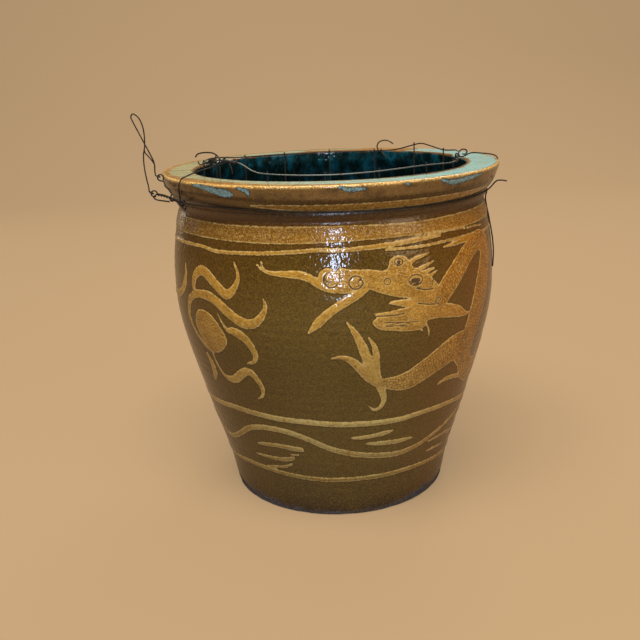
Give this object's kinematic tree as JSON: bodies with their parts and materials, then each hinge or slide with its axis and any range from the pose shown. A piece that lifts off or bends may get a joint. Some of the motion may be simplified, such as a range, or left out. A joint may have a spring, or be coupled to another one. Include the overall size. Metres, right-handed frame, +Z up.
{
  "type": "martaban jar",
  "caption": "Wide-mouthed glazed stoneware jar with a rolled rim, a wire mesh cage tied into its mouth and a swinging wire hanging loop.",
  "frame": {"origin": "centre of the flat foot, on the surface that the jar stands on", "axes": "+Z up along the jar's axis; -Y towards the painted front; +X to the right seen from the front"},
  "size_m": [0.52, 0.492, 0.5762],
  "materials": {
    "glazed_stoneware": "glossy brown glaze with yellow ochre slip",
    "galvanised_cage_wire": "weathered zinc",
    "annealed_tie_wire": "dark, lightly rusted"
  },
  "bodies": {
    "jar": {"back_hook_wire": "annealed_tie_wire", "cage_ring_bottom": "galvanised_cage_wire", "cage_ring_middle": "galvanised_cage_wire", "cage_ring_top": "galvanised_cage_wire", "cage_upright_01": "galvanised_cage_wire", "cage_upright_02": "galvanised_cage_wire", "cage_upright_03": "galvanised_cage_wire", "cage_upright_04": "galvanised_cage_wire", "cage_upright_05": "galvanised_cage_wire", "cage_upright_06": "galvanised_cage_wire", "cage_upright_07": "galvanised_cage_wire", "cage_upright_08": "galvanised_cage_wire", "cage_upright_09": "galvanised_cage_wire", "cage_upright_10": "galvanised_cage_wire", "cage_upright_11": "galvanised_cage_wire", "cage_upright_12": "galvanised_cage_wire", "cage_upright_13": "galvanised_cage_wire", "cage_upright_14": "galvanised_cage_wire", "jar_body": "glazed_stoneware", "left_knot_wire": "annealed_tie_wire", "left_loose_wire": "annealed_tie_wire", "left_tie_wire": "annealed_tie_wire", "loop_anchor_wire": "annealed_tie_wire", "neck_wire_back": "annealed_tie_wire", "neck_wire_front": "annealed_tie_wire", "right_knot_wire": "annealed_tie_wire", "right_tie_wire": "annealed_tie_wire"},
    "loop": {"hanging_loop": "annealed_tie_wire", "loop_cross_wire": "annealed_tie_wire"}
  },
  "joints": [
    {"name": "loop_swing", "type": "hinge", "parent": "jar", "child": "loop", "pos_m": [-0.24363, -0.09, 0.47936], "axis": [0.4449, 0, 0.8956], "range_deg": [-88, 88]}
  ]
}
